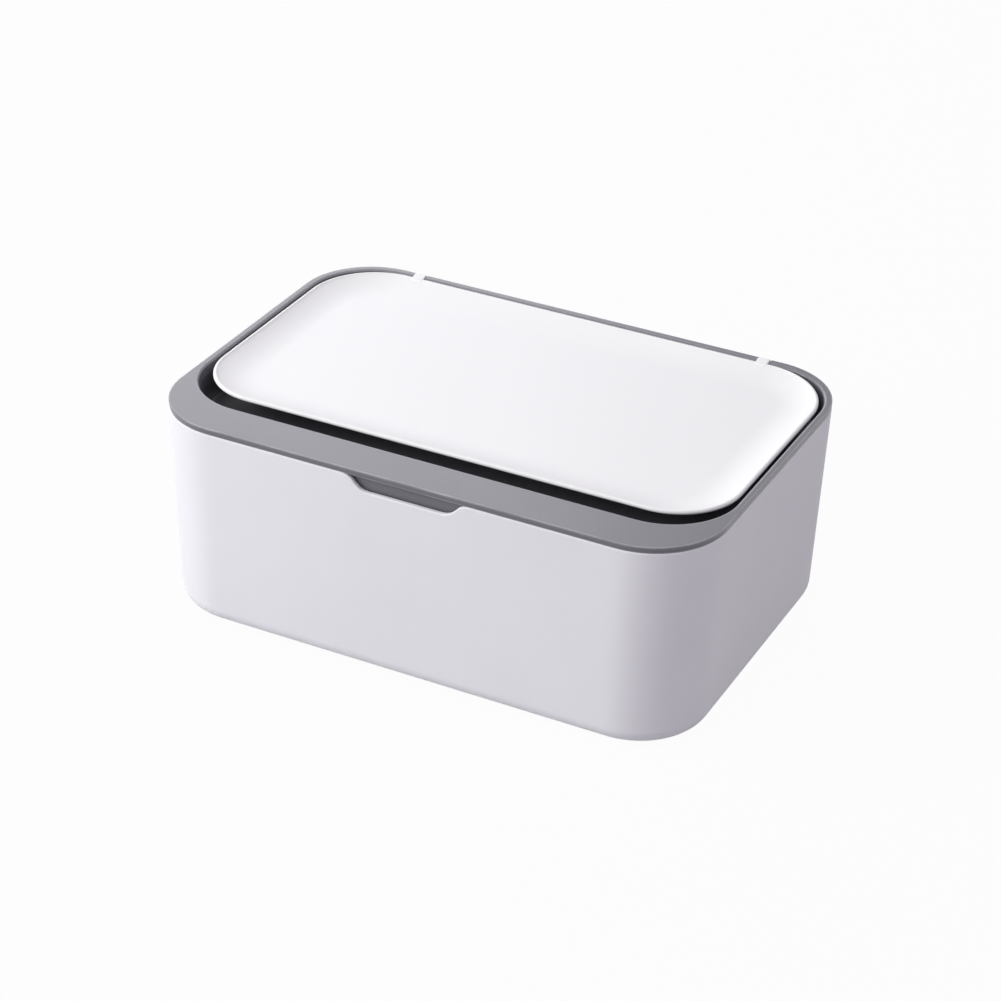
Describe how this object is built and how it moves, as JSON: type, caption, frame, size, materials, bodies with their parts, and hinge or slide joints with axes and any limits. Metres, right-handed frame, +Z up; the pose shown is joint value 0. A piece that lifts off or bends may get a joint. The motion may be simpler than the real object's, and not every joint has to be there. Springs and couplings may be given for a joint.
{
  "type": "wipes dispenser",
  "caption": "Low rounded box for wet wipes with a lift-off frame, a dished flip lid over a slit port and a loose weighted plate inside.",
  "frame": {"origin": "on the ground under the middle of the box, at the height of the foot pads' lower faces", "axes": "+X along the box's long side to the right, seen from the front; +Y to the hinge side at the back; +Z up"},
  "size_m": [0.2, 0.1362, 0.0771],
  "materials": {
    "tub_white": "fine matte white polypropylene",
    "lid_white": "satin white plastic",
    "liner_white": "satin white plastic",
    "frame_grey": "satin mid-grey plastic",
    "plate_white": "satin white plastic",
    "seal_silicone": "soft pale grey silicone",
    "foot_silicone": "soft grey silicone",
    "pin_steel": "drawn stainless wire",
    "weight_steel": "cold-rolled stainless bar"
  },
  "bodies": {
    "tub": {"tub_shell": "tub_white", "foot_pad_front_left": "foot_silicone", "foot_pad_front_right": "foot_silicone", "foot_pad_back_left": "foot_silicone", "foot_pad_back_right": "foot_silicone"},
    "frame": {"top_frame": "frame_grey", "frame_seal": "seal_silicone", "port_insert": "seal_silicone"},
    "lid": {"lid_panel": "lid_white", "lid_liner": "liner_white", "lid_seal": "seal_silicone", "hinge_pin_left": "pin_steel", "hinge_pin_right": "pin_steel"},
    "press_plate": {"press_plate_base": "plate_white", "press_plate_cover": "plate_white", "press_weight_front": "weight_steel", "press_weight_back": "weight_steel"}
  },
  "joints": [
    {"name": "frame_lift", "type": "slide", "parent": "tub", "child": "frame", "axis": [0, 0, 1], "range_m": [0, 0.1]},
    {"name": "lid_hinge", "type": "hinge", "parent": "frame", "child": "lid", "pos_m": [0, 0.0664, 0.07535], "axis": [-1, 0, 0], "range_deg": [0, 110]},
    {"name": "plate_rise", "type": "slide", "parent": "tub", "child": "press_plate", "axis": [0, 0, 1], "range_m": [0, 0.048]}
  ]
}
